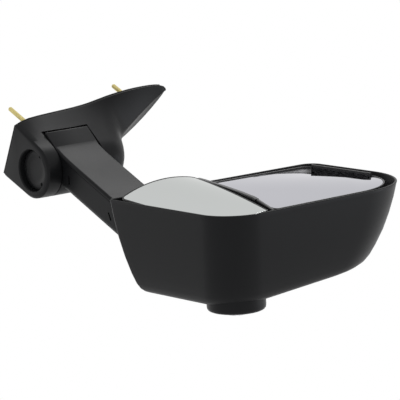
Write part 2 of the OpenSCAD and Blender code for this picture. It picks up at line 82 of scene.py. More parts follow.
# Depth of the flat glass's pins under its face, and the lower glass's hub, in the head's frame
HUB_DEEP, SPOT_HUB = 19, Vector((HEAD_W / 2, 24, 55))
EAR_HALF, PIN_BORE = 4.5, 2.55
DIVIDER_FEET = (HEAD_W / 2 - 64, HEAD_W / 2 + 70)
# Middle of the whole mirror, in metres, at which the camera and the lights aim
AIM = (0.2752, -0.0749, 0.0273)


def divider_z(x):
    """Height of the bar between the glasses at a place along the rim."""
    return 139 - 63 * x / HEAD_W


def between(table, at):
    """Row of values at a place, smoothly between a table's rows."""
    if at <= table[0][0]:
        return table[0][1:]
    for low, high in zip(table, table[1:]):
        if at <= high[0]:
            k = (at - low[0]) / (high[0] - low[0])
            return tuple(a + (b - a) * k for a, b in zip(low[1:], high[1:]))
    return table[-1][1:]


# ---------- Mesh tools ----------

def belt(circles, arc, run, place):
    """Tight belt about circles given anticlockwise: points on each arc, then on each straight."""
    count = len(circles)
    leave = []
    for i, (x, y, r) in enumerate(circles):
        nx, ny, nr = circles[(i + 1) % count]
        away = math.hypot(nx - x, ny - y)
        leave.append(math.atan2(ny - y, nx - x) - math.acos(max(-1.0, min(1.0, (r - nr) / away))))
    points = []
    for i, (x, y, r) in enumerate(circles):
        start = leave[i - 1]
        sweep = (leave[i] - start) % (2 * math.pi)
        for k in range(arc + 1):
            turn = start + sweep * k / arc
            points.append((x + r * math.cos(turn), y + r * math.sin(turn)))
        nx, ny, nr = circles[(i + 1) % count]
        far = (nx + nr * math.cos(leave[i]), ny + nr * math.sin(leave[i]))
        last = points[-1]
        for k in range(1, run):
            points.append((last[0] + (far[0] - last[0]) * k / run,
                           last[1] + (far[1] - last[1]) * k / run))
    return [place(*p) for p in points]


def loft(bm, rings, closed=False):
    """Skin over rings of equal length, with a face on each end or joined round."""
    loop = bmesh.ops.create_circle(bm, segments=len(rings[0]), radius=1)["verts"]
    edges = [e for e in bm.edges if e.verts[0] in set(loop) and e.verts[1] in set(loop)]
    for vert, point in zip(loop, rings[0]):
        vert.co = point
    first = list(loop)
    if not closed:
        bmesh.ops.contextual_create(bm, geom=edges)
    for ring in rings[1:]:
        order = {tuple(v.co): i for i, v in enumerate(loop)}
        grown = bmesh.ops.extrude_edge_only(bm, edges=edges)["geom"]
        loop = sorted((g for g in grown if isinstance(g, bmesh.types.BMVert)),
                      key=lambda v: order[tuple(v.co)])
        fresh = set(loop)
        edges = [g for g in grown if isinstance(g, bmesh.types.BMEdge)
                 and g.verts[0] in fresh and g.verts[1] in fresh]
        for vert, point in zip(loop, ring):
            vert.co = point
    if closed:
        bmesh.ops.weld_verts(bm, targetmap=dict(zip(loop, first)))
    else:
        bmesh.ops.contextual_create(bm, geom=edges)


def lathe(bm, profile, matrix, steps=64):
    """Solid of revolution about Z from a profile of (radius, height), then placed."""
    before = set(bm.verts)
    verts = [bm.verts.new((r, 0, z)) for r, z in profile]
    edges = [bm.edges.new(pair) for pair in zip(verts, verts[1:])]
    bmesh.ops.spin(bm, geom=verts + edges, cent=(0, 0, 0), axis=(0, 0, 1),
                   angle=2 * math.pi, steps=steps, use_merge=True)
    made = [v for v in bm.verts if v not in before]
    bmesh.ops.remove_doubles(bm, verts=made, dist=0.0005)
    made = [v for v in bm.verts if v not in before]
    bmesh.ops.transform(bm, matrix=matrix, verts=made)


def block(bm, low, high, matrix=None):
    """Box between two corners."""
    size = [b - a for a, b in zip(low, high)]
    middle = Vector([(a + b) / 2 for a, b in zip(low, high)])
    place = Matrix.Translation(middle) @ Matrix.Diagonal((*size, 1))
    bmesh.ops.create_cube(bm, size=1, matrix=(matrix or Matrix()) @ place)


def rod(bm, start, end, radius, segments=48):
    """Cylinder between two points."""
    start, end = Vector(start), Vector(end)
    turn = (end - start).to_track_quat("Z", "Y").to_matrix().to_4x4()
    place = Matrix.Translation((start + end) / 2) @ turn
    bmesh.ops.create_cone(bm, cap_ends=True, segments=segments, radius1=radius, radius2=radius,
                          depth=(end - start).length, matrix=place)


def piece(name, bm):
    """New object in metres from a mesh in millimetres, its normals outwards."""
    bmesh.ops.scale(bm, vec=(MM, MM, MM), verts=bm.verts)
    bmesh.ops.recalc_face_normals(bm, faces=bm.faces)
    mesh = bpy.data.meshes.new(name)
    bm.to_mesh(mesh)
    bm.free()
    made = bpy.data.objects.new(name, mesh)
    bpy.context.scene.collection.objects.link(made)
    return made


def combine(target, operation, *tools):
    """Cuts, joins or keeps the overlap with other solids, which are used up."""
    for tool in tools:
        step = target.modifiers.new("cut", "BOOLEAN")
        step.operation = operation
        step.solver = "EXACT"
        step.object = tool
    graph = bpy.context.evaluated_depsgraph_get()
    mesh = bpy.data.meshes.new_from_object(target.evaluated_get(graph))
    target.modifiers.clear()
    target.data = mesh
    for tool in tools:
        bpy.data.objects.remove(tool)
    if not mesh.polygons:
        raise RuntimeError(target.name + " has no faces left")


def finish_piece(made, body, slot, replaces=(), smooth=32):
    """Shades a piece, gives it its finish, hangs it on its body and hides the parts it replaces."""
    bm = bmesh.new()
    bm.from_mesh(made.data)
    bmesh.ops.remove_doubles(bm, verts=bm.verts, dist=1e-7)
    for face in bm.faces:
        face.smooth = True
    for edge in bm.edges:
        edge.smooth = len(edge.link_faces) == 2 and edge.calc_face_angle(0) < math.radians(smooth)
    bm.to_mesh(made.data)
    bm.free()
    made.data.materials.clear()
    made.data.materials.append(bpy.data.materials[slot])
    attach(made, body)
    if replaces:
        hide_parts(*replaces)
    return made


# ---------- Finishes ----------

class Signal:
    """A value in a material, which arithmetic turns into Math nodes."""

    def __init__(self, finish, socket):
        self.finish = finish
        self.socket = socket

    def _maths(self, operation, first, second):
        made = self.finish.node("ShaderNodeMath", {"operation": operation}, {0: first, 1: second})
        return Signal(self.finish, made.outputs[0])

    def __add__(self, other):
        return self._maths("ADD", self, other)

    def __radd__(self, other):
        return self._maths("ADD", other, self)

    def __sub__(self, other):
        return self._maths("SUBTRACT", self, other)

    def __rsub__(self, other):
        return self._maths("SUBTRACT", other, self)

    def __mul__(self, other):
        return self._maths("MULTIPLY", self, other)

    def __rmul__(self, other):
        return self._maths("MULTIPLY", other, self)


class Finish:
    """One material: a principled shader fed by patterns on the object's own coordinates."""

    def __init__(self, name):
        plain = bpy.data.materials.get(name)
        if plain:
            bpy.data.materials.remove(plain)
        self.material = bpy.data.materials.new(name)
        self.material.use_nodes = True
        self.tree = self.material.node_tree
        self.tree.nodes.clear()
        self.shader = self.node("ShaderNodeBsdfPrincipled")
        output = self.node("ShaderNodeOutputMaterial")
        self.tree.links.new(self.shader.outputs[0], output.inputs["Surface"])
        self.place = self.node("ShaderNodeTexCoord").outputs["Object"]

    def node(self, kind, settings=None, values=None):
        """A node of a type, with its settings first and then its sockets' values or links."""
        made = self.tree.nodes.new(kind)
        for key, value in (settings or {}).items():
            if key == "stops":
                for stop, (at, colour) in zip(made.color_ramp.elements, value):
                    stop.position, stop.color = at, (*colour, 1)
            else:
                setattr(made, key, value)
        for key, value in (values or {}).items():
            self.feed(made.inputs[key], value)
        return made

    def feed(self, socket, value):
        """Links a socket to a signal, or sets it."""
        if isinstance(value, Signal):
            self.tree.links.new(value.socket, socket)
        elif isinstance(value, bpy.types.NodeSocket):
            self.tree.links.new(value, socket)
        else:
            socket.default_value = value

    def noise(self, scale, detail=2.0, stretch=None):
        """Soft noise from 0 to 1, its grains per metre, drawn out along an axis if asked."""
        place = self.place
        if stretch:
            place = self.node("ShaderNodeMapping", None,
                              {"Vector": place, "Scale": stretch}).outputs[0]
        made = self.node("ShaderNodeTexNoise", None,
                         {"Vector": place, "Scale": scale, "Detail": detail})
        return Signal(self, made.outputs[0])

    def cells(self, scale):
        """Pebbled cells, 0 in the middle of each."""
        made = self.node("ShaderNodeTexVoronoi", {"feature": "SMOOTH_F1"},
                         {"Vector": self.place, "Scale": scale, "Smoothness": 0.6})
        return Signal(self, made.outputs["Distance"])

    def colour(self, dark, light, mask):
        """Colour between two by a signal."""
        made = self.node("ShaderNodeMix", {"data_type": "RGBA"},
                         {"Factor": mask, 6: (*dark, 1), 7: (*light, 1)})
        self.feed(self.shader.inputs["Base Color"], made.outputs[2])

    def relief(self, height, depth, strength=1.0):
        """Fine relief, its depth in millimetres."""
        made = self.node("ShaderNodeBump", None,
                         {"Height": height, "Distance": depth * MM, "Strength": strength})
        self.feed(self.shader.inputs["Normal"], made.outputs[0])

    def set(self, **values):
        """Sets the shader's own sockets, such as Metallic or IOR."""
        for key, value in values.items():
            self.feed(self.shader.inputs[key.replace("_", " ")], value)


def moulded(name, tone, roughness, pebble, depth, level=0.35):
    """Moulded plastic or rubber: a tone, its roughness, its grains per metre and their depth."""
    f = Finish(name)
    broad = f.noise(11, 3)
    grain = f.cells(pebble)
    speck = f.noise(pebble * 0.7, 3)
    f.colour([0.82 * t for t in tone], [1.2 * t for t in tone], broad * 0.7 + grain * 0.5)
    f.set(Roughness=broad * 0.1 + speck * 0.12 + (roughness - 0.11), Specular_IOR_Level=level)
    f.relief(grain * 0.7 + speck * 0.5, depth)


def metal(name, tone, roughness, scale, depth, stretch=None, metallic=1.0):
    """Cast, brushed or plated metal with streaks or a cast skin."""
    f = Finish(name)
    broad = f.noise(35, 4)
    fine = f.noise(scale, 4, stretch)
    f.colour([0.75 * t for t in tone], [min(1.0, 1.2 * t) for t in tone], broad * 0.6 + fine * 0.4)
    f.set(Roughness=roughness - 0.1 + fine * 0.16 + broad * 0.08, Metallic=metallic)
    f.relief(fine + broad * 0.5, depth)


def reflector(name, tone, roughness, edge):
    """Silvered glass with a very faint unevenness, and its tone at a grazing view."""
    f = Finish(name)
    broad = f.noise(7, 2)
    film = f.noise(260, 3)
    f.colour([0.965 * t for t in tone], [1.03 * t for t in tone], broad)
    f.set(Roughness=roughness + film * 0.02, Metallic=1.0, Specular_Tint=(*edge, 1))
    f.relief(f.noise(16, 1), 0.01)


def lens(name, tone):
    """Clear moulded lens with a faint haze."""
    f = Finish(name)
    haze = f.noise(300, 3)
    broad = f.noise(40, 2)
    f.colour([0.85 * t for t in tone], tone, broad)
    f.set(Roughness=0.08 + haze * 0.12, Transmission_Weight=0.55, IOR=1.49)
    f.relief(haze + broad, 0.04)


def board(name, tone):
    """Lacquered circuit board with copper tracks just under the lacquer."""
    f = Finish(name)
    tracks = f.node("ShaderNodeTexBrick", None, {"Vector": f.place, "Scale": 160.0,
                                                 "Mortar Size": 0.03})
    lines = Signal(f, tracks.outputs["Fac"])
    f.colour(tone, [t * 1.8 + 0.01 for t in tone], lines * 0.6 + f.noise(220, 2) * 0.3)
    f.set(Roughness=0.28 + lines * 0.15, Coat_Weight=0.4)
    f.relief(lines, 0.03)


def film(name, tone):
    """Printed heater film: conductor lines on an amber sheet."""
    f = Finish(name)
    wave = f.node("ShaderNodeTexWave", {"bands_direction": "Z"},
                  {"Vector": f.place, "Scale": 60.0, "Distortion": 0.6})
    lines = Signal(f, wave.outputs["Fac"])
    f.colour([0.55 * t for t in tone], tone, lines)
    f.set(Roughness=0.35 + lines * 0.2, Coat_Weight=0.2)
    f.relief(lines, 0.05)


def make_finishes(tones):
    """All the materials, one for each of the record's slots."""
    housing = tuple(tones.housing)
    trim = tuple(tones.trim)
    moulded("textured_cover", housing, 0.4, 1500, 0.05, 0.12)
    moulded("trim_plastic", trim, 0.36, 2400, 0.015)
    moulded("frame_plastic", [1.3 * t for t in housing], 0.55, 900, 0.04)
    moulded("foam_gasket", (0.009, 0.009, 0.009), 0.85, 700, 0.25, 0.2)
    moulded("soft_rubber", (0.012, 0.012, 0.012), 0.62, 1300, 0.04, 0.3)
    moulded("bush_plastic", (0.62, 0.6, 0.52), 0.42, 1600, 0.02, 0.5)
    metal("die_cast", (0.42, 0.43, 0.45), 0.5, 800, 0.12)
    metal("plain_steel", (0.5, 0.51, 0.53), 0.34, 600, 0.02, (1, 1, 9))
    metal("yellow_zinc", tuple(tones.zinc), 0.33, 500, 0.02, (6, 1, 1))
    reflector("flat_mirror", tuple(tones.flat_glass), 0.02, (0.8, 0.8, 0.82))
    reflector("spot_mirror", tuple(tones.spot_glass), 0.03, (0.82, 0.83, 0.82))
    lens("lamp_lens", (0.62, 0.59, 0.67))
    board("circuit_board", (0.02, 0.11, 0.05))
    film("heater_film", (0.5, 0.24, 0.07))


# ---------- Sizes and tones that a user may change ----------

class MirrorSizes(bpy.types.PropertyGroup):
    """Sizes of the visible pieces."""

    shell_wall: FloatProperty(name="Shell wall", description="Thickness of the head's wall",
                              default=0.003, min=0.0015, max=0.006, subtype="DISTANCE")
    rim_round: FloatProperty(name="Rim rounding", description="Radius of the head's rim edges",
                             default=0.0013, min=0.0002, max=0.0015, subtype="DISTANCE")
    thread_pitch: FloatProperty(name="Thread pitch", description="Pitch of the door studs",
                                default=0.001, min=0.0005, max=0.002, subtype="DISTANCE")
    thread_depth: FloatProperty(name="Thread depth", description="Depth of the studs' thread",
                                default=0.0005, min=0.0001, max=0.001, subtype="DISTANCE")
    lens_flutes: IntProperty(name="Lens flutes", description="Flutes round the lamp's lens",
                             default=26, min=8, max=60)
    cover_gap: FloatProperty(name="Cover gap", description="Gap between the arm's two covers",
                             default=0.0006, min=0.0002, max=0.0015, subtype="DISTANCE")


class MirrorTones(bpy.types.PropertyGroup):
    """Tones of the finishes."""

    housing: FloatVectorProperty(name="Housing", description="Grained black moulding",
                                 default=(0.0052, 0.0054, 0.006), subtype="COLOR")
    trim: FloatVectorProperty(name="Trim", description="Satin black trim",
                              default=(0.006, 0.006, 0.0065), subtype="COLOR")
    zinc: FloatVectorProperty(name="Zinc", description="Yellow zinc plating of the door studs",
                              default=(0.64, 0.55, 0.24), subtype="COLOR")
    flat_glass: FloatVectorProperty(name="Flat glass", description="Silvering of the flat glass",
                                    default=(0.53, 0.53, 0.56), subtype="COLOR")
    spot_glass: FloatVectorProperty(name="Lower glass", description="Silvering of the lower glass",
                                    default=(0.56, 0.575, 0.57), subtype="COLOR")


class MirrorView(bpy.types.PropertyGroup):
    """Where the camera stands."""

    azimuth: FloatProperty(name="Azimuth", description="Turn of the camera round the mirror",
                           default=math.radians(51.94), subtype="ANGLE")
    elevation: FloatProperty(name="Elevation", description="Camera's height as an angle",
                             default=math.radians(-39.0), subtype="ANGLE")
    roll: FloatProperty(name="Roll", description="Turn of the camera about its own axis",
                        default=math.radians(79.02), subtype="ANGLE")
    distance: FloatProperty(name="Distance", description="Camera's distance from its aim",
                            default=3.2, min=1.0, subtype="DISTANCE")
    focal: FloatProperty(name="Focal length", description="Focal length on a 36 mm sensor",
                         default=233.55, min=20.0)


# ---------- The setting ----------

def soft_light(name, place, size, power, tone=(1, 1, 1)):
    """Square soft light at a place, turned towards the mirror's middle."""
    data = bpy.data.lights.new(name, "AREA")
    data.shape = "SQUARE"
    data.size = size
    data.energy = power
    data.color = tone
    made = bpy.data.objects.new(name, data)
    made.matrix_world = Matrix.Translation(place) @ (
        (Vector(place) - Vector(AIM)).to_track_quat("Z", "Y").to_matrix().to_4x4())
    bpy.context.scene.collection.objects.link(made)


class MIRROR_OT_stage(bpy.types.Operator):
    """Pale floor, soft light and the camera."""

    bl_idname = "mirror.stage"
    bl_label = "Stage"

    def execute(self, context):
        view = context.scene.mirror_view
        bm = bmesh.new()
        bmesh.ops.create_circle(bm, cap_ends=True, segments=96, radius=9000,
                                matrix=Matrix.Translation((0, 0, -2600)))
        bmesh.ops.inset_region(bm, faces=bm.faces, thickness=500, depth=0)
        floor = piece("studio_floor", bm)
        f = Finish("studio_floor")
        f.colour((0.86, 0.86, 0.86), (0.9, 0.9, 0.9), f.noise(2, 2))
        f.set(Roughness=0.8 + f.noise(5, 2) * 0.1)
        floor.data.materials.append(f.material)

        world = bpy.data.worlds.new("studio")
        world.use_nodes = True
        world.node_tree.nodes["Background"].inputs["Color"].default_value = (1, 1, 1, 1)
        world.node_tree.nodes["Background"].inputs["Strength"].default_value = 1.0
        context.scene.world = world
        soft_light("key", (2.0, -0.7, 2.7), 1.2, 20, (0.9, 0.94, 1))
        soft_light("fill", (-1.5, -1.7, 1.6), 1.0, 20)
        soft_light("low", (-2.4, 1.0, -1.3), 1.2, 8)

        data = bpy.data.cameras.new("camera")
        data.lens = view.focal
        data.sensor_width = 36
        data.clip_end = 60
        camera = bpy.data.objects.new("camera", data)
        flat = math.cos(view.elevation)
        back = Vector((math.sin(view.azimuth) * flat, -math.cos(view.azimuth) * flat,
                       math.sin(view.elevation)))
        side = Vector((math.cos(view.azimuth), math.sin(view.azimuth), 0))
        turn = Matrix((side, back.cross(side), back)).transposed().to_4x4()
        camera.matrix_world = (Matrix.Translation(Vector(AIM) + back * view.distance) @ turn
                               @ Matrix.Rotation(view.roll, 4, "Z"))
        context.scene.collection.objects.link(camera)
        context.scene.camera = camera
        context.scene.view_settings.view_transform = "Standard"
        return {"FINISHED"}


# ---------- Head ----------

# Share of the depth, then how far the inner, outer, low and top sides have drawn in
SHELL_STEPS = [(0.0, 0, 0, 0, 0), (0.2, 3.6, 2.6, 1.8, 4.0), (0.4, 8.2, 6.2, 4.3, 9.2),
               (0.6, 14.0, 10.6, 7.8, 16.0), (0.78, 20.6, 15.8, 11.8, 24.2),
               (0.89, 25.6, 19.6, 15.0, 30.4), (0.945, 29.4, 22.4, 17.8, 35.0),
               (0.975, 33.2, 25.6, 21.0, 39.6), (0.99, 37.0, 29.0, 24.4, 44.6),
               (0.998, 43.0, 34.0, 29.0, 52.0), (1.0, 52.0, 44.0, 38.0, 64.0)]
CORNERS = (7, 50, 100, 20)


def head_ring(share, wall=0.0):
    """Belt round the head's wall at a share of its depth, drawn in by a wall."""
    inner, outer, low, top = between(SHELL_STEPS, share)
    left, right = inner + wall, HEAD_W - outer - wall
    base, crown = low + wall, HEAD_H - top - wall
    radii = [max(2.0, r - wall) for r in CORNERS]
    circles = [(left + radii[0], base + radii[0], radii[0]),
               (right - radii[1], base + radii[1], radii[1]),
               (right - radii[2], crown - radii[2], radii[2]),
               (left + TOP_LEAN + radii[3], crown - radii[3], radii[3])]

    def place(x, z):
        deep = share * (LOW_DEPTH + (TOP_DEPTH - LOW_DEPTH) * z / HEAD_H)
        return HEAD @ Vector((x, deep - wall * (share > 0.9), z))
    return belt(circles, 20, 14, place)


def rim_ring(wall, y):
    """Belt at the rim, at a small depth of its own."""
    flat = head_ring(0.0, wall)
    lift = HEAD.to_3x3() @ Vector((0, y, 0))
    return [p + lift for p in flat]


class MIRROR_OT_head_shell(bpy.types.Operator):
    """Deep moulded head shell with a rounded rim, open towards the glasses."""

    bl_idname = "mirror.head_shell"
    bl_label = "Head Shell"

    def execute(self, context):
        sizes = context.scene.mirror_sizes
        wall = sizes.shell_wall / MM
        soft = sizes.rim_round / MM
        shares = [s[0] for s in SHELL_STEPS]
        rings = [head_ring(s, wall) for s in (1.0, 0.99, 0.97, 0.93, 0.8, 0.6, 0.4, 0.2, 0.06)]
        for i in range(5):
            a = math.pi * i / 8
            rings.append(rim_ring(wall - soft + soft * math.cos(a), soft - soft * math.sin(a)))
        for i in range(5):
            a = math.pi / 2 + math.pi * i / 8
            rings.append(rim_ring(soft + soft * math.cos(a), soft - soft * math.sin(a)))
        rings += [head_ring(s) for s in (0.05, 0.1, 0.2, 0.3, 0.4, 0.5, 0.6, 0.7)]
        rings += [head_ring(s) for s in shares if s > 0.7]
        bm = bmesh.new()
        loft(bm, rings)
        shell = piece("head_cover", bm)

        cutter = bmesh.new()
        grow = 0.8
        circles = [(ARM_REAR + 3, ARM_LOW + 3, 3 + grow),
                   (ARM_FRONT - 11, ARM_LOW + 11, 11 + grow),
                   (ARM_FRONT - 11, ARM_TOP - 13, 11 + grow),
                   (ARM_REAR + 3, ARM_TOP - 5, 3 + grow)]
        loft(cutter, [belt(circles, 10, 4, lambda y, z, x=x: Vector((x, y, z)))
                      for x in (ARM_CUT_FROM, ARM_CUT_TO)])
        mouth = piece("mouth", cutter)
        cutter = bmesh.new()
        x, z = LAMP_AT
        rod(cutter, HEAD @ Vector((x, 84, z)), HEAD @ Vector((x, 160, z)), LAMP_R + 0.4, 96)
        lamp = piece("lamp_hole", cutter)
        combine(shell, "DIFFERENCE", mouth, lamp)
        finish_piece(shell, "arm_and_head", "textured_cover", ("head_shell",), 28)
        return {"FINISHED"}


class MIRROR_OT_lamp(bpy.types.Operator):
    """Round lamp housing and its fluted lens on the head's front."""

    bl_idname = "mirror.lamp"
    bl_label = "Lamp"

    def execute(self, context):
        flutes = context.scene.mirror_sizes.lens_flutes
        x, z = LAMP_AT
        forward = HEAD @ Matrix.Translation((x, 0, z)) @ Matrix.Rotation(-math.pi / 2, 4, "X")
        bm = bmesh.new()
        seat = LAMP_OUT - 3.5
        lathe(bm, [(0, LAMP_BACK), (LAMP_R, LAMP_BACK), (LAMP_R, LAMP_OUT - 5),
                   (LAMP_R - 0.5, LAMP_OUT - 2.6), (LAMP_R - 1.8, LAMP_OUT - 0.9),
                   (LAMP_R - 3.8, LAMP_OUT), (LENS_R + 1.2, LAMP_OUT),
                   (LENS_R + 0.3, LAMP_OUT - 0.6), (LENS_R + 0.2, seat), (LENS_R - 3, seat),
                   (LENS_R - 9, LAMP_BACK + 4), (LENS_R - 9.4, LAMP_BACK + 3),
                   (0, LAMP_BACK + 3)], forward, 96)
        housing = piece("lamp_bezel", bm)
        finish_piece(housing, "arm_and_head", "textured_cover", ("lamp_housing",))

        count = flutes * 6
        dome_h = 7.0
        rings = []
        outside = [(LENS_R - 2.2, 0.1), (LENS_R, 0.1), (LENS_R, 2.2), (LENS_R - 0.3, 3.2)]
        for i in range(1, 15):
            k = 1 - i / 14.6
            outside.append((LENS_R * k, 3.4 + dome_h * (1 - k * k)))
        inside = [(max(r - 2.2, 0.4), h - 2.2) for r, h in reversed(outside[3:])]
        inside.append((LENS_R - 2.2, 0.4))
        for wall, profile in ((0, inside), (1, outside)):
            for r, h in profile:
                ripple = 0.0
                if 3.3 < h + 2.2 * (1 - wall):
                    ripple = 0.28 * math.sin(math.pi * min(1.0, r / LENS_R))
                ring = []
                for j in range(count):
                    a = 2 * math.pi * j / count
                    swirl = a * flutes + 0.09 * r
                    ring.append(forward @ Vector((r * math.cos(a), r * math.sin(a),
                                                  seat + h + ripple * wall * math.cos(swirl))))
                rings.append(ring)
        bm = bmesh.new()
        loft(bm, rings)
        dome = piece("lamp_dome", bm)
        finish_piece(dome, "arm_and_head", "lamp_lens", ("lamp_lens",), 50)
        return {"FINISHED"}


def flat_circles(grow=0.0):
    """Corners of the flat glass as circles."""
    low, high = divider_z(SIDE_IN + 26) + 33, divider_z(HEAD_W - SIDE_IN) + 10
    return [(SIDE_IN + 26, low, 26 + grow), (HEAD_W - SIDE_IN - 3, high, 3 + grow),
            (HEAD_W - SIDE_IN - 88, HEAD_H - TOP_IN - 88, 88 + grow),
            (SIDE_IN + TOP_LEAN + 14, HEAD_H - TOP_IN - 14, 14 + grow)]


def spot_circles(grow=0.0):
    """Corners of the lower glass as circles."""
    return [(SIDE_IN + 5, 18, 5 + grow), (HEAD_W - SIDE_IN - 34, 42, 30 + grow),
            (HEAD_W - SIDE_IN - 3, divider_z(HEAD_W - SIDE_IN) - 11, 3 + grow),
            (SIDE_IN + 3, divider_z(SIDE_IN) - 11, 3 + grow)]


def flat_ring(grow, y):
    """Belt round the flat glass at a depth under the rim."""
    return belt(flat_circles(grow), 16, 12, lambda x, z: HEAD @ Vector((x, y, z)))


def curve_y(x, z, depth):
    """Depth of the lower glass's curved face at a place, plus a depth under it."""
    radius = CURVE_R - depth
    sag = CURVE_R - math.sqrt(radius ** 2 - (z - APEX_Z) ** 2)
    return -PROUD + sag - math.tan(SPOT_TURN) * -(x - 10)


def spot_ring(grow, depth, share=1.0):
    """Belt round the lower glass, on its curved face, shrunk to a share of its size."""
    middle = (HEAD_W / 2, 56)

    def place(x, z):
        a = middle[0] + (x - middle[0]) * share
        b = middle[1] + (z - middle[1]) * share
        return HEAD @ Vector((a, curve_y(a, b, depth), b))
    return belt(spot_circles(grow), 14, 16, place)


SHARES = (0.985, 0.93, 0.86, 0.78, 0.69, 0.59, 0.48, 0.36, 0.23, 0.1, 0.03)


class MIRROR_OT_flat_glass(bpy.types.Operator):
    """Flat glass with ground edges, in its tray."""

    bl_idname = "mirror.flat_glass"
    bl_label = "Flat Glass"

    def execute(self, context):
        bm = bmesh.new()
        y = GLASS_Y
        loft(bm, [flat_ring(-0.5, y + GLASS_T), flat_ring(-0.1, y + GLASS_T - 0.3),
                  flat_ring(-0.1, y + 0.3), flat_ring(-0.2, y + 0.1), flat_ring(-0.5, y)])
        glass = piece("flat_pane", bm)
        finish_piece(glass, "flat_mirror", "flat_mirror", ("flat_glass",), 20)

        back = y + GLASS_T + 3.8
        bm = bmesh.new()
        loft(bm, [flat_ring(0.2, back - 3), flat_ring(0.2, y + 0.4), flat_ring(0.5, y - 0.2),
                  flat_ring(1.1, y - 0.5), flat_ring(1.8, y - 0.2), flat_ring(2.0, y + 0.4),
                  flat_ring(2.0, back - 1.2), flat_ring(1.6, back - 0.3), flat_ring(0.8, back)])
        # trim strip along the tray's upper edge
        top = HEAD_H - TOP_IN
        ends = ((SIDE_IN + TOP_LEAN + 10, top + 0.5), (HEAD_W - SIDE_IN - 74, top - 0.5))
        rings = []
        for x, z in ends:
            circles = [(y - 2.4, z + 0.4, 1.0), (y - 2.4, z - 0.6, 0.9), (y + 3, z + 0.4, 1.0)]
            rings.append(belt(circles, 8, 2, lambda b, c, x=x: HEAD @ Vector((x, b, c))))
        loft(bm, rings)
        # ears that carry the tilt ring's upright pins
        hub_y, hub_z = y + HUB_DEEP, (divider_z(HEAD_W / 2) + 10 + top) / 2
        tray = piece("flat_tray", bm)
        ears = bmesh.new()
        for s in (-1, 1):
            low, high = (10, 16) if s > 0 else (-16, -10)
            block(ears, (HEAD_W / 2 - EAR_HALF, back - 1.3, hub_z + low),
                  (HEAD_W / 2 + EAR_HALF, hub_y + EAR_HALF, hub_z + high), HEAD)
        ear = piece("ears", ears)
        bore = bmesh.new()
        rod(bore, HEAD @ Vector((HEAD_W / 2, hub_y, hub_z - 22)),
            HEAD @ Vector((HEAD_W / 2, hub_y, hub_z + 22)), PIN_BORE)
        combine(ear, "DIFFERENCE", piece("bore", bore))
        combine(tray, "UNION", ear)
        finish_piece(tray, "flat_mirror", "trim_plastic", ("glass_holder",))
        return {"FINISHED"}


class MIRROR_OT_spot_glass(bpy.types.Operator):
    """Curved lower glass with ground edges, in its tray."""

    bl_idname = "mirror.spot_glass"
    bl_label = "Lower Glass"

    def execute(self, context):
        bm = bmesh.new()
        rings = [spot_ring(0, GLASS_T, s) for s in reversed(SHARES)]
        rings += [spot_ring(-0.5, GLASS_T), spot_ring(-0.1, GLASS_T - 0.3), spot_ring(-0.1, 0.3),
                  spot_ring(-0.2, 0.1), spot_ring(-0.5, 0)]
        rings += [spot_ring(0, 0, s) for s in SHARES]
        loft(bm, rings)
        glass = piece("lower_pane", bm)
        finish_piece(glass, "spot_mirror", "spot_mirror", ("spot_glass",), 20)

        bm = bmesh.new()
        back = GLASS_T + 3.2
        rings = [spot_ring(0, GLASS_T + 0.2, s) for s in reversed(SHARES)]
        rings += [spot_ring(0.2, GLASS_T + 0.2), spot_ring(0.2, 0.2), spot_ring(0.6, -0.3),
                  spot_ring(1.2, -0.5), spot_ring(1.8, -0.1), spot_ring(2.0, 0.6),
                  spot_ring(2.0, back - 1.0), spot_ring(1.4, back)]
        rings += [spot_ring(0, back, s) for s in SHARES]
        loft(bm, rings)
        tray = piece("lower_tray", bm)
        hub = SPOT_HUB
        ears = bmesh.new()
        for s in (-1, 1):
            low, high = (6, 11) if s > 0 else (-11, -6)
            top = curve_y(hub.x, hub.z + 8 * s, back) - 1.5
            block(ears, (hub.x - EAR_HALF, top, hub.z + low),
                  (hub.x + EAR_HALF, hub.y + EAR_HALF, hub.z + high), HEAD)
        ear = piece("ears", ears)
        bore = bmesh.new()
        rod(bore, HEAD @ (hub - Vector((0, 0, 16))), HEAD @ (hub + Vector((0, 0, 16))),
            PIN_BORE)
        combine(ear, "DIFFERENCE", piece("bore", bore))
        combine(tray, "UNION", ear)
        finish_piece(tray, "spot_mirror", "trim_plastic", ("spot_holder",))
        return {"FINISHED"}


class MIRROR_OT_divider(bpy.types.Operator):
    """Bar between the two glasses with its raised cap strip."""

    bl_idname = "mirror.divider"
    bl_label = "Divider"

    def execute(self, context):
        bm = bmesh.new()

        def bar(stations, half, front, rear_of, round_r):
            rings = []
            for x in stations:
                rear = rear_of(x)
                z = divider_z(x)
                circles = [(rear + round_r, z + half - round_r, round_r),
                           (rear + round_r, z - half + round_r, round_r),
                           (front, z - half + 0.5, 0.5), (front, z + half - 0.5, 0.5)]
                rings.append(belt(circles, 8, 2, lambda b, c, x=x: HEAD @ Vector((x, b, c))))
            loft(bm, rings)

        profile = [(9.5, -7), (HEAD_W / 2, -7), (0.79 * HEAD_W, -5), (HEAD_W - 9.5, 1)]

        def edge(x):
            return between(profile, x)[0]
        bar((9.5, 60, 114, 150, 180.1, 200, HEAD_W - 9.5), 2.0, 22, edge, 1.2)
        # raised cap strip, which tapers away before the outer end
        bar((11, 14, 30, 80, 130, 168, 176), 3.0, 0.5,
            lambda x: edge(x) - 1.6 * min(1, (x - 8) / 8, (180 - x) / 14), 1.1)
        for x in DIVIDER_FEET:
            z = divider_z(x)
            block(bm, (x - 6, 20, z - 2), (x + 6, 79.9, z + 2), HEAD)
        made = piece("divider_bar", bm)
        finish_piece(made, "arm_and_head", "trim_plastic", ("glass_divider",))
        return {"FINISHED"}


# ---------- Arm ----------

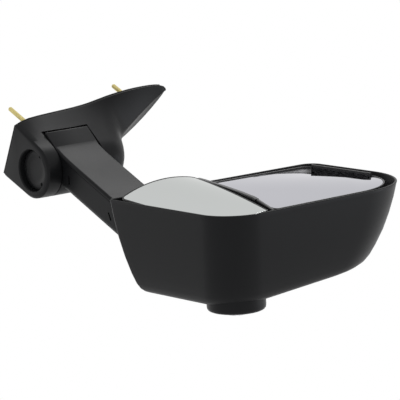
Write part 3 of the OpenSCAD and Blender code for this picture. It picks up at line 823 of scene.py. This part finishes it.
# Place along the arm, then the rear face's place
ARM_STEPS = [(53.5, -36.4), (60, -36.0), (67.5, -34.9), (77.5, -33.8), (90, -33.2), (105, -33.0),
             (125, -33.0), (149.5, -33.0), (180, -33.0), (230, -33.0), (300, -33.0), (345, -33.0)]


def arm_body(name, shrink, far):
    """The arm's outer form from its round root, drawn in by a wall."""
    bm = bmesh.new()
    rings = []
    low, top, front = ARM_LOW + shrink, ARM_TOP - shrink, ARM_FRONT - shrink
    small, big = max(0.8, 3.5 - shrink), max(2.0, 11 - shrink)
    for x, rear in [s for s in ARM_STEPS if s[0] <= far]:
        rear += shrink
        circles = [(rear + small, low + small, small), (front - big, low + big, big),
                   (front - big, top - big, big), (rear + small, top - small, small)]
        rings.append(belt(circles, 12, 4, lambda y, z, x=x: Vector((x, y, z))))
    loft(bm, rings)
    blade = piece(name, bm)
    bm = bmesh.new()
    rings = []
    h = ROOT_TOP - shrink
    for inset, z in ((1.4, -h), (0.4, 0.4 - h), (0, 1.4 - h), (0, h - 1.4), (0.4, h - 0.4),
                     (1.4, h)):
        inset += shrink
        circles = [(PIVOT_X, 0, ROOT_R - inset), (PIVOT_X - 16, -41, max(0.3, 2.5 - inset))]
        rings.append(belt(circles, 48, 6, lambda x, y, z=z: Vector((x, y, z))))
    loft(bm, rings)
    combine(blade, "UNION", piece("root", bm))
    return blade


def slab(name, low, high, matrix=None):
    """Box-shaped cutting tool."""
    bm = bmesh.new()
    block(bm, low, high, matrix)
    return piece(name, bm)


class MIRROR_OT_arm(bpy.types.Operator):
    """Rear and front covers of the arm."""

    bl_idname = "mirror.arm"
    bl_label = "Arm Covers"

    def execute(self, context):
        half = context.scene.mirror_sizes.cover_gap / MM / 2
        for name, node, low, high in (
                ("arm_cover_rear", "arm_rear_cover", -200, SPLIT_Y - half),
                ("arm_cover_front", "arm_front_cover", SPLIT_Y + half, 200)):
            cover = arm_body(name, 0, 300)
            hollow = arm_body("hollow", ARM_WALL, 345)
            bm = bmesh.new()
            rod(bm, (PIVOT_X, 0, -60), (PIVOT_X, 0, 60), 22, 64)
            bore = piece("bore", bm)
            beyond = slab("beyond", (-200, FOOT_Y, -100), (500, 400, 500), HEAD)
            combine(cover, "DIFFERENCE", hollow)
            combine(cover, "DIFFERENCE", bore, beyond)
            combine(cover, "INTERSECT", slab("keep", (-50, low, -120), (400, high, 120)))
            if node == "arm_front_cover":
                tools = []
                for x, turn in WINDOWS:
                    tools.append(slab("window", (-5.5, -1.3, -5), (5.5, 1.3, 5),
                                      Matrix.Translation((x, ARM_REAR + 23, ARM_LOW))
                                      @ Matrix.Rotation(math.radians(turn), 4, "Z")))
                for x in ARM_SCREWS:
                    bm = bmesh.new()
                    rod(bm, (x, ARM_FRONT - 6, 0), (x, ARM_FRONT + 6, 0), 1.9, 32)
                    tools.append(piece("screw_hole", bm))
                combine(cover, "DIFFERENCE", *tools)
            finish_piece(cover, "arm_and_head", "textured_cover", (node,), 30)
        return {"FINISHED"}


# ---------- Door base ----------

# Height, then rear edge, front edge, outer place, outer circle's radius and its forward place
BASE_STEPS = [(-57, -36, 33, 86.5, 33, 0), (-56.4, -37.4, 35, 88.2, 34.2, 0),
              (-54.6, -38.6, 37, 90, 36, 0), (-48, -42, 41, 90, 36.5, 0),
              (-36, -45.6, 45, 90, 36.5, 0), (-20, -47.4, 47, 90, 36.5, 0),
              (-5, -48.6, 49, 90, 36.5, 0), (12, -49.8, 50, 90, 36.5, 0),
              (35, -51.6, 49.6, 90, 36.5, 0), (49, -53.3, 48.5, 90, 36.5, 0),
              (56, -54.4, 47.4, 89.8, 36.3, -0.1), (61, -55.4, 46.2, 88.4, 35, -0.5),
              (66, -56.5, 44.7, 86, 33, -1), (71, -57.6, 43, 82, 30.5, -2),
              (76, -58.7, 40.8, 76, 27.5, -3.5), (80, -59.6, 39, 69.5, 24.5, -5),
              (84, -60.5, 37, 61.5, 21.5, -7), (88, -61.4, 35, 53, 18.5, -9.5),
              (92, -62.1, 32.8, 45.5, 16, -12.5), (97, -63, 30, 39, 13.5, -16),
              (104, -64.1, 25.7, 33.5, 11.5, -20), (112, -65.2, 20.6, 29.5, 9.5, -24),
              (122, -66.4, 13.6, 25.5, 8, -29), (134, -67.3, 3.8, 21, 6.5, -35),
              (146, -67.8, -7.7, 17, 5.2, -41), (158, -67.9, -20.7, 13.2, 4.2, -47),
              (168, -67.3, -33, 10.4, 3.4, -52), (176, -66.1, -44, 8.8, 2.8, -56),
              (181, -64.4, -51.8, 8, 2.3, -58.5), (184, -62, -57.6, 7.4, 1.9, -59.6)]


def base_ring(z, shrink=0.0, door=GASKET):
    """Belt round the base at a height, from the door outwards."""
    rear, front, out, r, y = between(BASE_STEPS, z)
    rear, front, out = rear + shrink, front - shrink, out - shrink
    r = max(0.6, r - shrink)
    edge = min(1.6, r)
    front = max(front, rear + 2 * edge + 0.4)
    circles = [(door + edge, rear + edge, edge), (max(out - r, door + edge + 0.5), y, r),
               (door + edge, front - edge, edge)]
    return belt(circles, 24, 16, lambda a, b: Vector((a, b, z)))


def outline_at(side, z, inset):
    """A point of the base's edge on the door, at a height, drawn in."""
    rear, front = between(BASE_STEPS, z)[:2]
    return rear + inset if side < 0 else front - inset


class MIRROR_OT_base_cover(bpy.types.Operator):
    """Moulded cover that sweeps from the cup under the pivot up to the tip."""

    bl_idname = "mirror.base_cover"
    bl_label = "Base Cover"

    def execute(self, context):
        bm = bmesh.new()
        loft(bm, [base_ring(s[0]) for s in BASE_STEPS])
        cover = piece("base_fairing", bm)
        bm = bmesh.new()
        loft(bm, [base_ring(z, 2.8, -20) for z in
                  [CUP_Z + 2.8] + [s[0] for s in BASE_STEPS if CUP_Z + 3 < s[0] < 170]])
        combine(cover, "DIFFERENCE", piece("hollow", bm))
        well = bmesh.new()
        rod(well, (PIVOT_X, 0, CUP_Z + 0.5), (PIVOT_X, 0, -44.8), CAP_R + 3.4, 96)
        combine(cover, "UNION", piece("well", well))
        recess = bmesh.new()
        r = CAP_R + 0.7
        lathe(recess, [(0, CUP_Z - 3), (r + 4.4, CUP_Z - 3), (r + 1.4, CUP_Z), (r + 0.4, CUP_Z + 1),
                       (r, CUP_Z + 2.2), (r, -40), (0, -40)],
              Matrix.Translation((PIVOT_X, 0, 0)), 96)
        sweep = bmesh.new()
        rod(sweep, (PIVOT_X, 0, -GAP_Z), (PIVOT_X, 0, GAP_Z), ROOT_REACH, 96)
        combine(cover, "DIFFERENCE", piece("recess", recess), piece("sweep", sweep),
                slab("root_gap", (PIVOT_X - 20.5, -90, -GAP_Z), (PIVOT_X + 120, 90, GAP_Z)))
        posts = bmesh.new()
        for y, z in COVER_SCREWS:
            rod(posts, (5.3, y, z), (26, y, z), 4.5, 32)
        post = piece("posts", posts)
        bm = bmesh.new()
        loft(bm, [base_ring(z, 1.0) for z in
                  [CUP_Z + 1] + [s[0] for s in BASE_STEPS if CUP_Z + 3 < s[0] < 170]])
        combine(post, "INTERSECT", piece("within", bm))
        combine(cover, "UNION", post)
        bores = bmesh.new()
        for y, z in COVER_SCREWS:
            rod(bores, (0, y, z), (14, y, z), 1.75, 24)
        combine(cover, "DIFFERENCE", piece("bores", bores))
        finish_piece(cover, "base", "textured_cover", ("flag_cover",), 30)
        return {"FINISHED"}


class MIRROR_OT_gasket(bpy.types.Operator):
    """Foam gasket between the base and the door."""

    bl_idname = "mirror.gasket"
    bl_label = "Door Gasket"

    def execute(self, context):
        heights = [s[0] for s in BASE_STEPS if s[0] <= 176 and s[0] not in (-57.0, -54.6)]
        path = [Vector((0, outline_at(-1, z, 0.6), z)) for z in heights]
        path += [Vector((0, -58.5, 183.2))]
        path += [Vector((0, outline_at(1, z, 0.6), z)) for z in reversed(heights)]
        middle_of = [(a + b) / 2 for a, b in zip(path, path[1:] + path[:1])]
        points = []
        for p, m in zip(path, middle_of):
            points += [p, m]
        rings = []
        count = len(points)
        for i, p in enumerate(points):
            along = (points[(i + 1) % count] - points[i - 1]).normalized()
            inward = along.cross(Vector((1, 0, 0)))
            if inward.dot(Vector((0, -6, 45)) - p) < 0:
                inward = -inward
            ring = []
            for a, b in ((0.35, 0), (7.4, 0), (7.8, 0.5), (7.8, 2.5), (7.4, 2.95), (0.35, 2.95),
                         (-0.05, 2.5), (-0.05, 0.5)):
                ring.append(p + inward * a + Vector((b, 0, 0)))
            rings.append(ring)
        bm = bmesh.new()
        loft(bm, rings + [rings[0]], closed=True)
        made = piece("door_seal", bm)
        finish_piece(made, "base", "foam_gasket", ("door_gasket",))
        return {"FINISHED"}


class MIRROR_OT_studs(bpy.types.Operator):
    """Three threaded door studs and their shanks in the bracket."""

    bl_idname = "mirror.studs"
    bl_label = "Door Studs"

    def execute(self, context):
        sizes = context.scene.mirror_sizes
        pitch, depth = sizes.thread_pitch / MM, sizes.thread_depth / MM
        count = 24
        bm = bmesh.new()
        for y, z in STUDS:
            rings = []
            steps = int(42 / (pitch / 6))
            for i in range(steps + 1):
                x = -42 + 42 * i / steps
                tip = min(1.0, (x + 42) / 1.6)
                ring = []
                for j in range(count):
                    turn = 2 * math.pi * j / count
                    wave = (x / pitch - j / count) % 1.0
                    r = 2.98 - depth * abs(2 * wave - 1)
                    r = min(r, 1.9 + 1.1 * tip)
                    ring.append(Vector((x, y + r * math.cos(turn), z + r * math.sin(turn))))
                rings.append(ring)
            loft(bm, rings)
            turn = Matrix.Translation((0, y, z)) @ Matrix.Rotation(math.pi / 2, 4, "Y")
            shank = [(0, -0.3), (2.8, -0.3), (2.8, 0.05), (4.45, 0.05), (4.45, 9.6), (4.1, 10),
                     (0, 10)]
            lathe(bm, shank, turn, 48)
        made = piece("threaded_studs", bm)
        finish_piece(made, "base", "yellow_zinc", ("door_studs",), 40)
        return {"FINISHED"}


class MIRROR_OT_pivot_cap(bpy.types.Operator):
    """Cap disc under the pivot with three small dimples."""

    bl_idname = "mirror.pivot_cap"
    bl_label = "Pivot Cap"

    def execute(self, context):
        bm = bmesh.new()
        low, high = CAP_BOTTOM, CAP_BOTTOM + 3
        lathe(bm, [(0, low + 0.5), (12, low + 0.45), (CAP_R - 9, low + 0.3), (CAP_R - 8, low),
                   (CAP_R - 1.1, low), (CAP_R - 0.3, low + 0.3), (CAP_R, low + 1.1),
                   (CAP_R, high - 0.3), (CAP_R - 0.3, high), (0, high)],
              Matrix.Translation((PIVOT_X, 0, 0)), 96)
        cap = piece("cap_disc", bm)
        tools = []
        for turn in (35, 155, 275):
            a = math.radians(turn)
            x, y = PIVOT_X + (CAP_R - 5) * math.cos(a), (CAP_R - 5) * math.sin(a)
            cut = bmesh.new()
            lathe(cut, [(0, low - 1), (2.9, low - 1), (2.3, low + 0.1), (2.0, low + 1.2),
                        (1.2, low + 1.6), (0, low + 1.7)], Matrix.Translation((x, y, 0)), 32)
            tools.append(piece("dimple", cut))
        combine(cap, "DIFFERENCE", *tools)
        finish_piece(cap, "base", "textured_cover", ("pivot_cap",))
        return {"FINISHED"}


class MIRROR_OT_small_parts(bpy.types.Operator):
    """Cover screws and the wiring grommet on the base's back."""

    bl_idname = "mirror.small_parts"
    bl_label = "Screws and Grommet"

    def execute(self, context):
        bm = bmesh.new()
        turn = Matrix.Rotation(math.pi / 2, 4, "Y")
        for y, z in COVER_SCREWS:
            lathe(bm, [(0, 1.35), (2.6, 1.1), (3.6, 1.5), (4, 2.3), (4, 3.4), (1.7, 3.4),
                       (1.7, 11.6), (1.1, 12.3), (0, 12.3)],
                  Matrix.Translation((0, y, z)) @ turn, 48)
        screws = piece("cover_screw_set", bm)
        tools = []
        for y, z in COVER_SCREWS:
            cut = bmesh.new()
            rod(cut, (0, y, z), (2.6, y, z), 1.7, 6)
            tools.append(piece("socket", cut))
        combine(screws, "DIFFERENCE", *tools)
        finish_piece(screws, "base", "plain_steel", ("cover_screws",))
        bm = bmesh.new()
        y, z = GROMMET
        ring = [(5.0, 0.8), (5.8, 0.1), (10.7, 0.1), (11.4, 0.4), (11.5, 1.2), (11.2, 1.9),
                (8.9, 1.9), (8.9, 5.1), (11.2, 5.1), (11.5, 5.6), (11.4, 6.5), (10.7, 7),
                (5.8, 7), (5.0, 6.2), (5.0, 0.8)]
        lathe(bm, ring, Matrix.Translation((0, y, z)) @ turn, 64)
        grommet = piece("wiring_grommet", bm)
        finish_piece(grommet, "base", "soft_rubber", ("wire_grommet",), 50)
        return {"FINISHED"}


class MIRROR_OT_finishes(bpy.types.Operator):
    """Materials for every slot, and their use on the parts that keep their shape."""

    bl_idname = "mirror.finishes"
    bl_label = "Finishes"

    def execute(self, context):
        make_finishes(context.scene.mirror_tones)
        for part in frame["record"]["subparts"]:
            node = frame["nodes"][part["node"]]
            node.data.materials.clear()
            node.data.materials.append(bpy.data.materials[part["material_slot"]])
        return {"FINISHED"}


class MIRROR_PT_panel(bpy.types.Panel):
    """Sizes, tones and a button for each piece."""

    bl_idname = "MIRROR_PT_panel"
    bl_label = "Towing Mirror"
    bl_space_type = "VIEW_3D"
    bl_region_type = "UI"
    bl_category = "Towing Mirror"

    def draw(self, context):
        layout = self.layout
        for group in (context.scene.mirror_sizes, context.scene.mirror_tones,
                      context.scene.mirror_view):
            box = layout.box()
            for name in group.__annotations__:
                box.prop(group, name)
        column = layout.column(align=True)
        for operator in OPERATORS:
            column.operator(operator.bl_idname)


OPERATORS = (
    MIRROR_OT_finishes, MIRROR_OT_stage, MIRROR_OT_head_shell, MIRROR_OT_lamp,
    MIRROR_OT_flat_glass, MIRROR_OT_spot_glass, MIRROR_OT_divider, MIRROR_OT_arm,
    MIRROR_OT_base_cover, MIRROR_OT_gasket, MIRROR_OT_studs, MIRROR_OT_pivot_cap,
    MIRROR_OT_small_parts)
GROUPS = (("mirror_sizes", MirrorSizes), ("mirror_tones", MirrorTones),
          ("mirror_view", MirrorView))


def register():
    """Adds the classes and the scene's settings."""
    for name, group in GROUPS:
        bpy.utils.register_class(group)
        setattr(bpy.types.Scene, name, PointerProperty(type=group))
    for made in (*OPERATORS, MIRROR_PT_panel):
        bpy.utils.register_class(made)


def unregister():
    """Removes the classes and the scene's settings."""
    for made in reversed((*OPERATORS, MIRROR_PT_panel)):
        bpy.utils.unregister_class(made)
    for name, group in reversed(GROUPS):
        delattr(bpy.types.Scene, name)
        bpy.utils.unregister_class(group)


def main():
    """Builds everything in order."""
    register()
    for operator in OPERATORS:
        group, name = operator.bl_idname.split(".")
        getattr(getattr(bpy.ops, group), name)()


if __name__ == "__main__":
    main()
